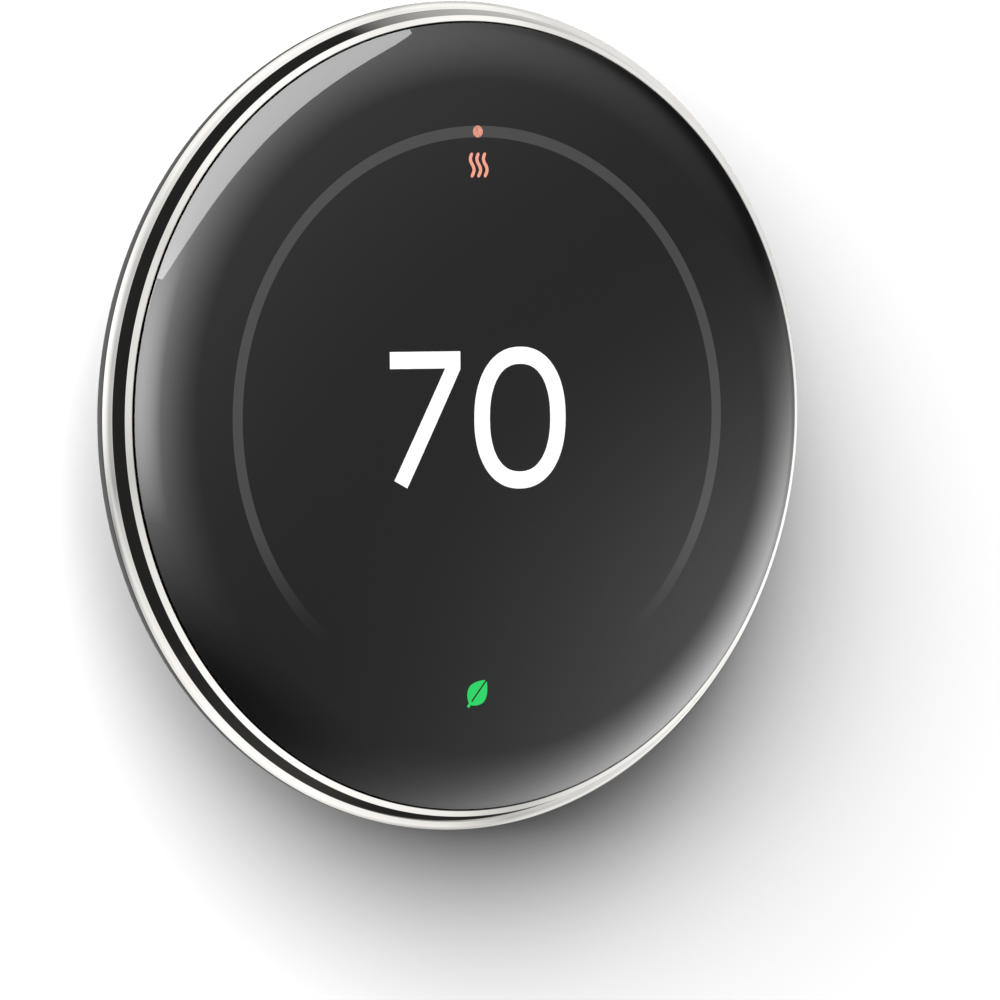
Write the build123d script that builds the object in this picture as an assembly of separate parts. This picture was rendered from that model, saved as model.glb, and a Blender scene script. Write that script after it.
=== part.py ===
from build123d import *
import os
from math import acos, atan2, cos, hypot, radians, sin, sqrt

# A round wall thermostat: a domed front lens over a lit display, inside a polished ring that
# turns, on a shallow cup that pulls straight off a wired base plate.
# Millimetres. The origin is on the wall, on the thermostat's own axis. +Z is up, the wall is the
# plane Y = 0 and the thermostat stands out of it towards -Y, so a height h above the wall is Y = -h.

# ---------------------------------------------------------------- driving sizes
# Fits
press_gap = 0.02         # a screw in its pilot hole, a pressed-in piece in its seat
running_gap = 0.08       # a turning or sliding fit, on the radius
side_gap = 0.3           # clear space between pieces that pass each other
seat_gap = 0.15          # end float of the turning ring, each side

# Base on the wall
base_depth = 7.0
base_floor = 2.0
base_wall = 1.5
wire_hole_radius = 11.0
wall_screw_pitch = 48.0
wall_screw_hole_radius = 2.2
wall_screw_room = 4.0    # radius kept free for the screw's head
base_board_thickness = 0.8
base_screw_gap = 0.25      # between a base screw's head and a latch boss
base_screw_heights = (19.6, -21.2)

# Wire terminals, an arc of them each side of the wire hole
terminals_per_side = 6
terminal_pitch = 17.0    # degrees
terminal_wall_gap = 0.6      # between a terminal block and the base's wall
terminal_hole_gap = 1.6      # and from the wire hole
terminal_height = 3.2
wire_entry_radius = 0.9
button_wall = 2.4            # block's wall outside its buttons
button_length = 4.6
button_width = 3.6
button_top_clearance = 0.5   # button top below the cup
button_travel = 1.0
button_flange = 0.6
clamp_thickness = 0.3

# Snap posts that hold the head on the base
latch_wall_gap = 0.2         # between a latch boss and the base's wall
latch_angles = (65.0, 115.0, 245.0, 295.0)
post_radius = 1.6
post_neck_radius = 1.0
latch_wire = 0.6
latch_boss_wall = 1.4

# Head: rear cup
cup_gap = 0.4            # cup floor above the base's front edge
cup_floor = 1.2
cup_skirt_depth = 1.2    # how far the cup's skirt hides the base's edge
cup_skirt_width = 2.7    # cup's back edge stands this far outside the base
cup_taper = 3.5          # cup's back is this much smaller than the hub
cup_wall = 1.2
battery_size = (34.0, 24.0, 3.5)
battery_centre_z = 4.5
battery_pad = 0.3
battery_headroom = 0.6
frame_thickness = 1.0
board_thickness = 1.0

# Head: moving front
press_travel = 0.6
switch_height = 1.5
switch_size = 5.2
plunger_radius = 1.5
plunger_length = 2.1
plunger_rise = 1.9       # plunger above the switch's case, at rest
plunger_gap = 0.1
carrier_boss_drop = 2.8
carrier_floor = 1.0
backlight_thickness = 1.6
panel_thickness = 1.5
display_radius = 34.3
display_gap = 0.2
hub_wall = 1.2
retainer_thickness = 0.9
retainer_overlap = 1.0   # how far the retainer reaches under the ring's flange
retainer_width = 3.5     # and how far it reaches in from the hub's outside

# Ring and lens
liner_wall = 3.22
ring_wall = 3.0
ring_lip_wall = 2.05     # ring's wall beside the lens
ring_flange = 1.0
ring_back_gap = 0.9      # shadow gap between ring and cup
lens_gap = 0.15
lens_thickness = 5.0     # over the display
lens_skirt_width = 2.75
lens_skirt_depth = 2.0   # skirt below the display's face
gasket = 0.2
dome_rise = 8.5          # lens's top above the ring's widest line
dome_edge_slope = 9.7    # degrees, where the dome rolls into its shoulder
shoulder_radius = 12.0   # rolled edge of the dome
shoulder_angle = 38.0    # slope where the dome meets its rim
rim_break = 0.45         # radius of the lens's rim edge

# Ring's outer profile, from its widest line: (in from the edge, towards the front)
bead = (0.8, 0.77)       # rounded bead ends here
bead_crown = 0.07        # how far the bead bulges
cone = (1.4, 2.27)       # tapered band ends here
lip = (1.95, 2.68)       # lip's inner edge
tail = (2.7, 4.1)        # back ends here: in from the edge, towards the wall
back_round = 3.0         # radius from the widest line into the tapered back

# Small parts
guide_angles = (90.0, 210.0, 330.0)
guide_shank = 1.0
guide_bush_wall = 0.8
guide_head = 2.2
guide_head_height = 1.0
spring_wire = 0.35
spring_turns = 5
cup_screw_angles = (45.0, 135.0, 225.0, 315.0)
cup_post_wall = 1.5
retainer_screw_count = 6
small_screw_shank = 0.7
small_screw_head = 1.2
small_screw_head_height = 0.7
plug_size = (16.0, 5.6)
plug_centre_z = -15.8
plug_columns = 7
plug_pin = 0.5
plug_pitch = 2.0
plug_reach = 3.6         # pins below the cup's floor
usb_size = (8.9, 3.2)
usb_centre_z = 20.8
usb_wall = 0.3
vial_size = (14.0, 4.0, 3.6)
vial_centre_z = 15.6
vial_bore = 1.3
vent_slots = 5
vent_width = 1.2

# ---------------------------------------------------------------- heights above the wall
base_board_low = base_floor
base_board_top = base_board_low + base_board_thickness
terminal_top = base_board_top + terminal_height
cup_back = base_depth + cup_gap
cup_floor_top = cup_back + cup_floor
battery_low = cup_floor_top + battery_pad
battery_top = battery_low + battery_size[2]
board_low = battery_top + battery_headroom
board_top = board_low + board_thickness
frame_low = board_low - frame_thickness
switch_top = board_top + switch_height
plunger_top = switch_top + plunger_rise
carrier_pad = plunger_top + plunger_gap
carrier_low = carrier_pad + 0.7
carrier_seat = carrier_low + carrier_floor
panel_low = carrier_seat + backlight_thickness
panel_top = panel_low + panel_thickness
lens_apex = panel_top + lens_thickness
ring_wide = lens_apex - dome_rise
skirt_low = panel_top - lens_skirt_depth
flange_top = skirt_low - gasket
ring_step = flange_top - 1.4
carrier_flange_low = ring_step + 0.2
liner_top = carrier_flange_low - 2 * seat_gap
ring_tail = ring_wide - tail[1]
ring_back = ring_tail - 0.1
ring_flange_top = ring_back + ring_flange
hub_back = ring_back - seat_gap
retainer_low = hub_back - retainer_thickness
cup_rim = ring_back - ring_back_gap
skirt_back = cup_back - cup_skirt_depth

# ---------------------------------------------------------------- radii
pocket_radius = display_radius + display_gap
hub_radius = pocket_radius + hub_wall
liner_bore = hub_radius + running_gap
bearing_bore = liner_bore + liner_wall
ring_radius = bearing_bore + ring_wall
lens_bore = ring_radius - ring_lip_wall
lens_radius = lens_bore - lens_gap
lens_pocket = lens_radius - lens_skirt_width
flange_radius = lens_bore - side_gap
retainer_radius = hub_radius + retainer_overlap
cup_rim_bore = retainer_radius + side_gap
cup_rim_radius = cup_rim_bore + cup_wall
cup_back_radius = hub_radius - cup_taper
base_radius = cup_back_radius - cup_skirt_width
retainer_inner = hub_radius - retainer_width
retainer_screw_circle = pocket_radius - small_screw_head
board_radius = retainer_inner - 0.7
frame_radius = board_radius - 0.1
frame_bore = board_radius - 6.5
guide_radius_at = board_radius - 3.5   # shoulder screws and board screws
cup_screw_circle = guide_radius_at


# ---------------------------------------------------------------- shapes
def at(radius, angle):
    """The (x, z) place on a circle about the axis, the angle counted from +X towards +Z."""
    return radius * cos(radians(angle)), radius * sin(radians(angle))


def spun(shape, angle):
    """The shape turned about the axis from +X towards +Z."""
    return Rot(0, -angle, 0) * shape


def outline(points):
    """A closed face of straight edges through (radius, height) corners."""
    return make_face(Polyline(*[(r, -h) for r, h in points], close=True))


def turned(points, arc=360):
    """A body turned about the axis from (radius, height) corners."""
    return revolve(outline(points), Axis.Y, arc)


def sector(points, middle, half_width):
    """Part of a turned body, half_width degrees each side of middle."""
    return spun(turned(points, 2 * half_width), middle + half_width)


def slab(inner, outer, low, top):
    """Corners of a flat ring, for turned or sector."""
    return [(inner, low), (outer, low), (outer, top), (inner, top)]


def block(centre, size, low, top):
    """A box given by the (x, z) centre and size of its face and its two heights."""
    place = Pos(centre[0], -(low + top) / 2, centre[1])
    return place * Box(size[0], top - low, size[1])


def rod(centre, radius, low, top):
    """A round bar along the axis direction."""
    place = Pos(centre[0], -(low + top) / 2, centre[1]) * Rot(90, 0, 0)
    return place * Cylinder(radius, top - low)


def stadium(centre, size, low, top):
    """A bar with a long rounded section, as wide as size[0] and as high as size[1]."""
    half = (size[0] - size[1]) / 2
    bar = block(centre, (2 * half, size[1]), low, top)
    left = rod((centre[0] - half, centre[1]), size[1] / 2, low, top)
    right = rod((centre[0] + half, centre[1]), size[1] / 2, low, top)
    return bar + left + right


def screw(centre, seat, reach, shank, head, head_height, from_back=True):
    """A cross-recess screw: its head sits on height seat and its shank ends at height reach."""
    way = -1 if from_back else 1
    low, top = sorted((seat, seat + way * head_height))
    shank_low, shank_top = sorted((seat, reach))
    body = rod(centre, head, low, top) + rod(centre, shank, shank_low, shank_top)
    outside = seat + way * head_height
    cut_low, cut_top = sorted((outside, outside - way * head_height * 0.55))
    long, thin = head * 1.1, head * 0.3
    cross = block(centre, (long, thin), cut_low, cut_top)
    cross += block(centre, (thin, long), cut_low, cut_top)
    return body - cross


def write(name, *solids):
    """Writes one sub-part, which may be a group of separate solids."""
    shape = solids[0] if len(solids) == 1 else Compound(list(solids))
    export_step(shape, f"parts/{name}.step")


def each_solid(shapes):
    """The separate solids in a list of shapes."""
    return [solid for shape in shapes for solid in shape.solids()]


# ---------------------------------------------------------------- base
latch_boss_radius = post_radius + side_gap + latch_boss_wall
latch_radius = base_radius - base_wall - latch_boss_radius - latch_wall_gap
latch_places = [at(latch_radius, a) for a in latch_angles]
wall_screw_places = [(0, wall_screw_pitch / 2), (0, -wall_screw_pitch / 2)]
half_fan = terminal_pitch * terminals_per_side / 2
terminal_angles = [
    side + (k + 0.5) * terminal_pitch - half_fan
    for side in (0.0, 180.0)
    for k in range(terminals_per_side)
]
latch_low = base_floor + 0.4
latch_boss_top = terminal_top
neck_middle = base_floor + 2.2
neck_half = latch_wire / 2 + 0.1
clip_place = post_neck_radius + 0.05 + latch_wire / 2
base_screw_x = latch_places[0][0] - latch_boss_radius - small_screw_head - base_screw_gap
base_screw_places = [(x, z) for x in (-base_screw_x, base_screw_x) for z in base_screw_heights]
board_hole_gap = 0.2


def make_base_plate():
    """Moulded dish that is screwed to the wall: a floor with the wire hole, a rim and latch bosses."""
    inner = base_radius - base_wall
    corners = [
        (wire_hole_radius, 0), (base_radius - 0.4, 0), (base_radius, 0.4),
        (base_radius, base_depth - 0.4), (base_radius - 0.4, base_depth), (inner, base_depth),
        (inner, base_floor), (wire_hole_radius, base_floor),
    ]
    plate = turned(corners)
    for place in latch_places:
        plate += rod(place, latch_boss_radius, base_floor, latch_boss_top)
    for place in latch_places:
        plate -= rod(place, post_radius + side_gap, latch_low, latch_boss_top)
        slot = (2 * (clip_place + latch_wire), 2 * latch_boss_radius)
        plate -= block(place, slot, neck_middle - latch_wire, neck_middle + latch_wire)
    for place in wall_screw_places:
        plate -= rod(place, wall_screw_hole_radius, 0, base_floor)
    for place in base_screw_places:
        plate -= rod(place, small_screw_shank + press_gap, base_floor - 1.5, base_floor)
    return plate


def make_base_board():
    """Round circuit board under the terminals, cut away at the wall screws and latch bosses."""
    outer = base_radius - base_wall - 0.3
    board = turned(slab(wire_hole_radius + 0.8, outer, base_board_low, base_board_top))
    for place in wall_screw_places:
        board -= rod(place, wall_screw_room, base_board_low, base_board_top)
    for place in latch_places:
        board -= rod(place, latch_boss_radius + board_hole_gap, base_board_low, base_board_top)
    for place in base_screw_places:
        board -= rod(place, small_screw_shank + press_gap, base_board_low, base_board_top)
    return board


terminal_inner_radius = wire_hole_radius + terminal_hole_gap
terminal_outer_radius = base_radius - base_wall - terminal_wall_gap
button_outer_radius = terminal_outer_radius - button_wall
button_inner_radius = button_outer_radius - button_length
slot_gap = 0.2
chamber_top = base_board_top + button_travel + button_flange + 0.3
wire_height = base_board_top + 1.4
clamp_inner = terminal_inner_radius + 2.9
flange_half = button_width / 2 + 0.3
button_low = chamber_top - button_flange - 0.1
button_top = cup_back - button_top_clearance


def make_terminal_block(middle):
    """Moulded arc of wire terminals: radial wire entries, a clamp chamber and a button slot each."""
    shell = slab(terminal_inner_radius, terminal_outer_radius, base_board_top, terminal_top)
    body = sector(shell, middle, half_fan)
    slot_middle = (button_inner_radius + button_outer_radius) / 2
    for angle in [a for a in terminal_angles if abs(a - middle) <= half_fan]:
        entry_length = button_inner_radius - terminal_inner_radius + 2
        entry_place = Pos(terminal_inner_radius - 1 + entry_length / 2, -wire_height, 0)
        entry = entry_place * Rot(0, 90, 0) * Cylinder(wire_entry_radius, entry_length)
        clamp_length = button_inner_radius - clamp_inner
        chamber = block((clamp_inner + clamp_length / 2, 0), (clamp_length, button_width),
                        base_board_top, chamber_top)
        length = button_length + 2 * slot_gap
        well = block((slot_middle, 0), (length, 2 * (flange_half + slot_gap)),
                     base_board_top, chamber_top)
        slot = block((slot_middle, 0), (length, button_width + 2 * slot_gap),
                     chamber_top, terminal_top)
        for cut in (entry, chamber, well, slot):
            body -= spun(cut, angle)
    return body


def make_button(angle):
    """Release button of one terminal: a ribbed stem with a flange that keeps it in its slot."""
    middle = ((button_inner_radius + button_outer_radius) / 2, 0)
    button = block(middle, (button_length, 2 * flange_half), button_low, button_low + button_flange)
    button += block(middle, (button_length, button_width), button_low, button_top)
    for step in (-1.4, 0.0, 1.4):
        groove = block((middle[0] + step, 0), (0.5, button_width), button_top - 0.3, button_top)
        button -= groove
    return spun(button, angle)


def make_clamp(angle):
    """Sheet spring that grips one wire: a foot on the board, a bend under the button and a blade."""
    t = clamp_thickness
    left, right = clamp_inner + 0.3, button_inner_radius + 1.2
    low, top = base_board_top + 0.05, button_low - 0.05
    strip = outline([
        (left, low), (right, low), (right, top), (right - t, top), (left + 1.2, wire_height - 0.3),
        (left + 1.4, wire_height - 0.3 - t), (right - t, top - 2 * t), (right - t, low + t),
        (left, low + t),
    ])
    blade = extrude(strip, amount=button_width / 2 - 0.3, both=True)
    return spun(blade, angle)


def make_latch_clip(place):
    """Hairpin wire clip that grips a snap post's neck: two straight legs and a closed end."""
    half = latch_boss_radius - 0.6
    line = Plane(origin=(place[0], -neck_middle, place[1]), x_dir=(1, 0, 0), z_dir=(0, -1, 0))
    route = line * FilletPolyline(
        (-clip_place, -half), (-clip_place, half), (clip_place, half), (clip_place, -half),
        radius=0.8,
    )
    section = Plane(origin=route @ 0, z_dir=route % 0) * Circle(latch_wire / 2)
    return sweep(section, path=route)


def make_base_socket():
    """Female header that the head's pins enter."""
    low, top = base_board_top, base_depth - 0.1
    socket = block((0, plug_centre_z), plug_size, low, top)
    for place in pin_places:
        socket -= block(place, (plug_pin + 0.2, plug_pin + 0.2), cup_back - plug_reach - 0.4, top)
    return socket


pin_places = [
    ((k - (plug_columns - 1) / 2) * plug_pitch, plug_centre_z + row * plug_pitch / 2)
    for k in range(plug_columns)
    for row in (-1, 1)
]


def make_level_vial():
    """Clear block of the spirit level, bored for its fluid."""
    low = base_board_top
    body = block((0, vial_centre_z), vial_size[:2], low, low + vial_size[2])
    return body - vial_room(vial_bore)


def vial_room(radius):
    """The level's bore, along X."""
    middle = -(base_board_top + vial_size[2] / 2)
    place = Pos(0, middle, vial_centre_z) * Rot(0, 90, 0)
    return place * Cylinder(radius, vial_size[0] - 3.0 - 2 * (vial_bore - radius))


def make_level_fluid():
    """Fluid in the level with the room of its bubble left out at the top."""
    middle = -(base_board_top + vial_size[2] / 2)
    bubble = Pos(0, middle, vial_centre_z + 0.5) * Rot(0, 90, 0) * Cylinder(0.6, 2.6)
    return vial_room(vial_bore - press_gap) - bubble


# ---------------------------------------------------------------- head: cup and electronics
cup_screw_places = [at(cup_screw_circle, a) for a in cup_screw_angles]
guide_places = [at(guide_radius_at, a) for a in guide_angles]
cup_screw_recess = 0.8
cup_screw_shank = 1.0
cup_screw_head = 2.0
cup_rivet = 0.5
cup_bend = cup_rim - 1.1       # cup's inner wall is straight down to here
speaker_place = (-23.2, 3.0)
speaker_size = (5.0, 2.8)
usb_place = (0.0, usb_centre_z)
plug_room = 0.4


def make_rear_cup():
    """Back shell of the head: a shallow bowl with windows for the plug, the charging port and air."""
    outer_mid = ((cup_rim_radius + cup_back_radius) / 2 + 0.7, (cup_rim + skirt_back) / 2)
    inner_foot = cup_back_radius - cup_wall - 0.6
    inner_mid = ((cup_rim_bore + inner_foot) / 2 + 0.4, (cup_bend + cup_floor_top) / 2)
    recess = base_radius + side_gap
    edge = 0.5
    points = {
        "rim_out": (cup_rim_radius, cup_rim), "back_out": (cup_back_radius, skirt_back + edge),
        "back_in": (cup_back_radius - edge, skirt_back), "skirt": (recess, skirt_back),
        "recess": (recess, cup_back), "axis_back": (0, cup_back), "axis_front": (0, cup_floor_top),
        "foot": (inner_foot, cup_floor_top), "bend": (cup_rim_bore, cup_bend),
        "rim_in": (cup_rim_bore, cup_rim),
    }
    p = {name: (r, -h) for name, (r, h) in points.items()}
    wall = Wire([
        ThreePointArc(p["rim_out"], (outer_mid[0], -outer_mid[1]), p["back_out"]),
        Line(p["back_out"], p["back_in"]), Line(p["back_in"], p["skirt"]),
        Line(p["skirt"], p["recess"]), Line(p["recess"], p["axis_back"]),
        Line(p["axis_back"], p["axis_front"]), Line(p["axis_front"], p["foot"]),
        ThreePointArc(p["foot"], (inner_mid[0], -inner_mid[1]), p["bend"]),
        Line(p["bend"], p["rim_in"]), Line(p["rim_in"], p["rim_out"]),
    ])
    cup = revolve(Face(wall), Axis.Y, 360)
    for place in cup_screw_places:
        cup += rod(place, cup_screw_shank + cup_post_wall, cup_floor_top - 0.2, frame_low)
    for place in cup_screw_places:
        cup -= rod(place, cup_screw_shank + running_gap, cup_back, frame_low)
        cup -= rod(place, cup_screw_head + running_gap, cup_back, cup_back + cup_screw_recess)
    for place in latch_places:
        cup -= rod(place, post_radius + press_gap, cup_back, cup_floor_top)
    window = (plug_size[0] + 2 * plug_room, plug_size[1] + 2 * plug_room)
    cup -= block((0, plug_centre_z), window, cup_back, cup_floor_top)
    cup -= stadium(usb_place, (usb_size[0] + 0.4, usb_size[1] + 0.4), cup_back, cup_floor_top)
    slot_reach = cup_back_radius - recess + 4.0
    vent_low = cup_floor_top + 0.6
    for k in range(vent_slots):
        slot = block((cup_back_radius, 0), (slot_reach, vent_width), vent_low, vent_low + 2.2)
        cup -= spun(slot, 270 + (k - (vent_slots - 1) / 2) * 6.5)
    return cup


def make_snap_post(place):
    """Post riveted in the cup's floor, with a neck that the base's wire clip grips."""
    x, z = place
    head = cup_floor_top + cup_rivet
    low = latch_low + 0.3
    corners = [
        (0, head), (post_radius + 0.6, head), (post_radius + 0.6, cup_floor_top),
        (post_radius, cup_floor_top), (post_radius, neck_middle + neck_half + 0.6),
        (post_neck_radius, neck_middle + neck_half), (post_neck_radius, neck_middle - neck_half),
        (post_radius - 0.2, neck_middle - neck_half - 0.4), (post_radius - 0.7, low), (0, low),
    ]
    return Pos(x, 0, z) * turned(corners)


def make_main_board():
    """Round main circuit board, drilled for the guide bushes and its own screws."""
    board = turned(slab(0, board_radius, board_low, board_top))
    for place in guide_places:
        board -= rod(place, guide_shank + running_gap + guide_bush_wall + 0.1, board_low, board_top)
    for place in board_screw_places:
        board -= rod(place, small_screw_shank + press_gap, board_low, board_top)
    return board


board_screw_places = [at(guide_radius_at, a) for a in (22.0, 158.0, 250.0)]


def make_mid_frame():
    """Ring frame that carries the board and guides the moving front."""
    frame = turned(slab(frame_bore, frame_radius, frame_low, board_low))
    for place in guide_places:
        frame -= rod(place, guide_shank + running_gap + guide_bush_wall + press_gap,
                     frame_low, board_low)
    for place in board_screw_places:
        frame -= rod(place, small_screw_shank + press_gap, frame_low, board_low)
    for place in cup_screw_places:
        frame -= rod(place, cup_screw_shank + press_gap, frame_low, board_low)
    return frame


def make_guide_bush(place):
    """Low-friction bush in the frame for one shoulder screw."""
    bore = guide_shank + running_gap
    body = rod(place, bore + guide_bush_wall, frame_low, board_top + 0.6)
    return body - rod(place, bore, frame_low, board_top + 0.6)


def make_battery():
    """Flat rechargeable cell with its folded top seal."""
    width, height, thick = battery_size
    cell = block((0, battery_centre_z), (width, height), battery_low, battery_top)
    cell = fillet(cell.edges().filter_by(Axis.Y), 1.5)
    step = block((0, battery_centre_z + height / 2 - 1.5), (width, 3.0), battery_low + thick * 0.6,
                 battery_top)
    return cell - step


def make_head_plug():
    """Header on the back of the main board that reaches through the cup's floor."""
    return block((0, plug_centre_z), plug_size, cup_back + 0.2, board_low)


def make_pin(place):
    """One plug pin, from inside the header to its pointed end."""
    low = cup_back - plug_reach
    return block(place, (plug_pin, plug_pin), low, cup_back + 0.2)


def make_usb_shell():
    """Metal shell of the charging port, open towards the wall."""
    low, top = cup_back + 0.4, board_low
    shell = stadium(usb_place, usb_size, low, top)
    hollow = (usb_size[0] - 2 * usb_wall, usb_size[1] - 2 * usb_wall)
    return shell - stadium(usb_place, hollow, low, top)


def make_usb_tongue():
    """Contact tongue of the charging port, on its moulded base."""
    hollow = (usb_size[0] - 2 * usb_wall - 0.04, usb_size[1] - 2 * usb_wall - 0.04)
    tongue = stadium(usb_place, hollow, board_low - 1.4, board_low)
    return tongue + block(usb_place, (6.6, 0.7), cup_back + 0.9, board_low - 1.4)


def make_click_switch():
    """Case of the push switch in the middle of the board, with the well of its plunger."""
    case = block((0, 0), (switch_size, switch_size), board_top, switch_top)
    well = plunger_radius + running_gap
    return case - rod((0, 0), well, switch_top - 1.2, switch_top)


def make_switch_plunger():
    """Plunger of the push switch, in its well and under the carrier's pad."""
    return rod((0, 0), plunger_radius, plunger_top - plunger_length - 0.2, plunger_top)


can_places = [(-15.0, 9.0), (15.0, 9.0)]
can_size = (13.0, 15.0)
can_height = 1.6
can_sheet = 0.25


def make_can(place):
    """Pressed shield can over the radio or the processor, open to the board."""
    box = block(place, can_size, board_top, board_top + can_height)
    box = fillet(box.edges().filter_by(Axis.Y), 0.8)
    inner = (can_size[0] - 2 * can_sheet, can_size[1] - 2 * can_sheet)
    return box - block(place, inner, board_top, board_top + can_height - can_sheet)


# (x, z, width, height, thickness) of the chips on the board's front
chip_list = [
    (-15.0, 11.0, 8.0, 8.0, 0.9), (15.0, 11.0, 7.0, 7.0, 0.9), (0.0, 9.0, 5.0, 5.0, 0.9),
    (-9.0, -10.0, 4.0, 5.0, 1.0), (9.0, -10.0, 4.0, 5.0, 1.0), (-17.0, -8.0, 3.0, 3.0, 1.2),
    (17.0, -8.0, 3.0, 3.0, 1.2), (0.0, 17.5, 9.0, 3.0, 1.0), (-8.0, 22.0, 3.2, 1.6, 0.8),
    (8.0, 22.0, 3.2, 1.6, 0.8),
]
zif_centre_z = -20.0
zif_size = (10.0, 4.0)
zif_height = 1.2
flex_width = 8.0
flex_thickness = 0.15
flex_slot_z = -27.5


def make_chip(x, z, width, height, thick):
    """One chip or small component on the main board."""
    return block((x, z), (width, height), board_top, board_top + thick)


def make_flex_connector():
    """Low connector on the board that takes the display's ribbon."""
    body = block((0, zif_centre_z), zif_size, board_top, board_top + zif_height)
    mouth = block((0, zif_centre_z - 1.0), (flex_width + 0.4, zif_size[1]),
                  board_top + 0.45, board_top + 0.45 + flex_thickness + 0.2)
    return body - mouth


sensor_arm_low = hub_back + side_gap
sensor_arm_top = sensor_arm_low + 0.7
sensor_top = carrier_low - press_travel - side_gap


def make_ring_sensor():
    """Bracket on the main board that holds a sensor close to the ring's magnets."""
    edge = board_radius - 0.3
    tip = pocket_radius - 0.4
    foot = block((edge - 1.0, 0), (2.0, 7.0), board_top, sensor_arm_top)
    arm = block(((edge + tip - 1.5) / 2, 0), (tip - 1.5 - edge, 7.0), sensor_arm_low, sensor_arm_top)
    upright = block((tip - 1.1, 0), (0.8, 7.0), sensor_arm_low, sensor_top)
    chip = block((tip - 0.35, 0), (0.7, 3.0), sensor_arm_low + 0.3, sensor_top - 0.2)
    return foot + arm + upright + chip


def make_climate_sensor():
    """Temperature and humidity sensor on its own board beside the air slots."""
    board = block((0, -26.5), (8.0, 5.0), cup_floor_top, cup_floor_top + 0.8)
    return board + block((0, -27.4), (2.5, 2.5), cup_floor_top + 0.8, cup_floor_top + 1.7)


def make_speaker():
    """Small round sounder on the cup's floor."""
    radius, height = speaker_size
    can = rod(speaker_place, radius, cup_floor_top, cup_floor_top + height)
    return can - rod(speaker_place, radius - 1.0, cup_floor_top + height - 0.4,
                     cup_floor_top + height)


# ---------------------------------------------------------------- head: moving front
retainer_screw_places = [
    at(retainer_screw_circle, 30 + k * 360 / retainer_screw_count)
    for k in range(retainer_screw_count)
]
carrier_boss = small_screw_shank + 0.7
guide_boss = guide_shank + 0.7
guide_reach = carrier_low - 0.4
guide_boss_low = carrier_low - carrier_boss_drop
guide_head_top = frame_low - 0.05
pad_radius = 3.0
sensor_inner = pocket_radius + 0.6
sensor_outer = lens_pocket - 0.3


def make_carrier():
    """Moulded carrier of the display and lens: a flange, a hub that the ring turns on, and a floor."""
    corners = [
        (0, carrier_low), (hub_radius - hub_wall, carrier_low), (hub_radius - hub_wall, hub_back),
        (hub_radius, hub_back), (hub_radius, carrier_flange_low),
        (flange_radius, carrier_flange_low), (flange_radius, flange_top),
        (pocket_radius, flange_top), (pocket_radius, carrier_seat), (0, carrier_seat),
    ]
    carrier = turned(corners)
    for place in retainer_screw_places:
        carrier += rod(place, carrier_boss, hub_back, carrier_low)
    for place in guide_places:
        carrier += rod(place, guide_boss, guide_boss_low, carrier_low)
    carrier += rod((0, 0), pad_radius, carrier_pad, carrier_low)
    for place in retainer_screw_places:
        carrier -= rod(place, small_screw_shank + press_gap, hub_back, hub_back + 2.6)
    for place in guide_places:
        carrier -= rod(place, guide_shank + press_gap, guide_boss_low, guide_reach + 0.1)
    carrier -= block((0, flex_slot_z), (flex_width + 1.0, 2.4), carrier_low, carrier_seat)
    return carrier


def make_retainer():
    """Thin ring screwed to the hub that keeps the turning ring on it."""
    ring = turned(slab(retainer_inner, retainer_radius, retainer_low, hub_back))
    for place in retainer_screw_places:
        ring -= rod(place, small_screw_shank + running_gap, retainer_low, hub_back)
    return ring


def make_spring(place):
    """Compression spring round a guide boss, between the board and the carrier's floor."""
    low, top = board_top + spring_wire, carrier_low - spring_wire
    radius = guide_boss + 0.35 + spring_wire / 2
    height = top - low
    helix = Helix(height / spring_turns, height, radius)
    start = helix @ 0
    section = Plane(origin=start, z_dir=helix % 0) * Circle(spring_wire / 2)
    coil = sweep(section, path=helix)
    return Pos(place[0], -low, place[1]) * Rot(90, 0, 0) * coil


def make_display_flex():
    """Ribbon from the backlight through the carrier's floor to the board's connector."""
    end_z = zif_centre_z - 0.2
    level = board_top + 0.45 + 0.1 + flex_thickness / 2
    route = FilletPolyline(
        (flex_slot_z - 0.2, carrier_seat - 0.05), (flex_slot_z - 0.2, level + 1.1),
        (flex_slot_z + 0.6, level), (end_z, level), radius=0.45,
    )
    ribbon = trace(route, line_width=flex_thickness)
    solid = extrude(ribbon, amount=flex_width / 2, both=True)
    return Plane(origin=(0, 0, 0), x_dir=(0, 0, 1), z_dir=(1, 0, 0)) * solid


def rolled(radius, run, top, start_sine, sine):
    """Point of an arc of the lens's section, where its surface slopes by the angle of this sine."""
    drop = radius * (sqrt(1 - start_sine**2) - sqrt(1 - sine**2))
    return run + radius * sine, top - drop


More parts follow.
